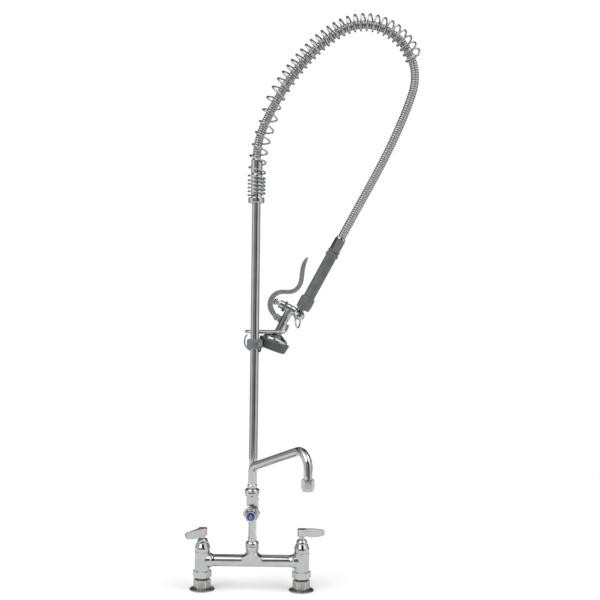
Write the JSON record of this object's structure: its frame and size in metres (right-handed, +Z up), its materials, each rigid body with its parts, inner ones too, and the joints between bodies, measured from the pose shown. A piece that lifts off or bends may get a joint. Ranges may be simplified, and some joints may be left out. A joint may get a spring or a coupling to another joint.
{
  "type": "pre rinse faucet",
  "caption": "Deck-mounted pre-rinse faucet: lever mixing base, riser with swing nozzle, overhead spring and ribbed hose, squeeze spray valve resting in a finger hook.",
  "frame": {"origin": "midway between the two inlets, at deck level", "axes": "+Z up, +X from the hot inlet to the cold one, the user stands at -Y"},
  "size_m": [0.4745, 0.2704, 1.1882],
  "materials": {
    "chrome": "polished chrome plate",
    "nickel": "dull nickel",
    "steel_hose": "ribbed stainless",
    "spring_steel": "bright drawn wire",
    "rubber": "moulded",
    "bumper_rubber": "moulded, matt",
    "grip_grey": "heat-resistant moulded sleeve",
    "lever_grey": "thick satin coating",
    "clamp_grey": "satin",
    "hot_red": "moulded",
    "cold_blue": "moulded",
    "face_plate": "perforated"
  },
  "bodies": {
    "base": {"mixing_body": "chrome", "deck_flange_left": "nickel", "deck_flange_right": "nickel", "coupling_washer_left": "rubber", "coupling_washer_right": "rubber", "coupling_nut_left": "chrome", "coupling_nut_right": "chrome", "bonnet_hot": "chrome", "bonnet_cold": "chrome", "column_washer": "rubber", "column_adapter": "chrome", "swivel_nut": "chrome", "lower_nipple": "chrome", "addon_body": "chrome", "addon_bonnet": "chrome", "nozzle_packing_nut": "chrome", "riser": "chrome", "hook_clamp": "clamp_grey", "hook_fork": "chrome", "hook_loop": "chrome", "hook_screw": "nickel", "spring_collar": "chrome", "overhead_spring": "spring_steel", "hose_adapter": "chrome", "hose_ferrule_lower": "chrome", "hose": "steel_hose"},
    "hot_lever": {"spindle_hot": "chrome", "seat_washer_hot": "rubber", "lever_handle_hot": "chrome", "handle_screw_hot": "nickel", "index_button_hot": "hot_red"},
    "cold_lever": {"spindle_cold": "chrome", "seat_washer_cold": "rubber", "lever_handle_cold": "chrome", "handle_screw_cold": "nickel", "index_button_cold": "cold_blue"},
    "addon_lever": {"addon_spindle": "chrome", "addon_seat_washer": "rubber", "addon_lever_handle": "chrome", "addon_handle_screw": "nickel", "addon_index_button": "cold_blue"},
    "swing_nozzle": {"nozzle_tube": "chrome", "nozzle_seal": "rubber", "nozzle_collar": "chrome", "nozzle_outlet": "chrome"},
    "spray_valve": {"hose_ferrule_upper": "chrome", "grip_nut": "grip_grey", "grip": "grip_grey", "grip_sleeve": "grip_grey", "valve_body": "chrome", "valve_bonnet": "chrome", "plunger_spring": "spring_steel", "lever_pin": "nickel", "spray_dome": "chrome", "spray_face": "face_plate", "face_screw": "nickel", "bumper": "bumper_rubber"},
    "plunger_stem": {"plunger": "chrome"},
    "lever": {"squeeze_lever": "lever_grey"},
    "ring": {"hold_ring": "chrome"}
  },
  "joints": [
    {"name": "hot_turn", "type": "hinge", "parent": "base", "child": "hot_lever", "pos_m": [-0.1016, 0, 0.111], "axis": [0, 0, 1], "range_deg": [0, 90]},
    {"name": "cold_turn", "type": "hinge", "parent": "base", "child": "cold_lever", "pos_m": [0.1016, 0, 0.111], "axis": [0, 0, 1], "range_deg": [-90, 0]},
    {"name": "addon_turn", "type": "hinge", "parent": "base", "child": "addon_lever", "pos_m": [0, -0.062, 0.168], "axis": [0, -1, 0], "range_deg": [0, 90]},
    {"name": "nozzle_swing", "type": "hinge", "parent": "base", "child": "swing_nozzle", "pos_m": [0, -0.032, 0.2], "axis": [0, 0, 1], "range_deg": [-170, 105]},
    {"name": "spray_swing", "type": "hinge", "parent": "base", "child": "spray_valve", "pos_m": [0.322, 0.0205, 1.088], "axis": [0, -1, 0], "range_deg": [0, 25], "stiffness_Nm_per_rad": 12, "springref_deg": -20.05, "deforming": ["hose"]},
    {"name": "lever_squeeze", "type": "hinge", "parent": "spray_valve", "child": "lever", "pos_m": [0.04532, 0.0245, 0.5584], "axis": [0, 1, 0], "range_deg": [0, 8], "stiffness_Nm_per_rad": 4, "springref_deg": -5.73},
    {"name": "plunger_slide", "type": "slide", "parent": "spray_valve", "child": "plunger_stem", "axis": [0.8829, 0, -0.4695], "range_m": [0, 0.0042], "deforming": ["plunger_spring"]},
    {"name": "ring_swing", "type": "hinge", "parent": "spray_valve", "child": "ring", "pos_m": [0.088, 0.0245, 0.5782], "axis": [0.2588, 0.9659, 0], "range_deg": [-35, 5]}
  ],
  "couplings": [
    {"joint": "plunger_slide", "follows": "lever_squeeze", "m_per_rad": 0.0285}
  ]
}
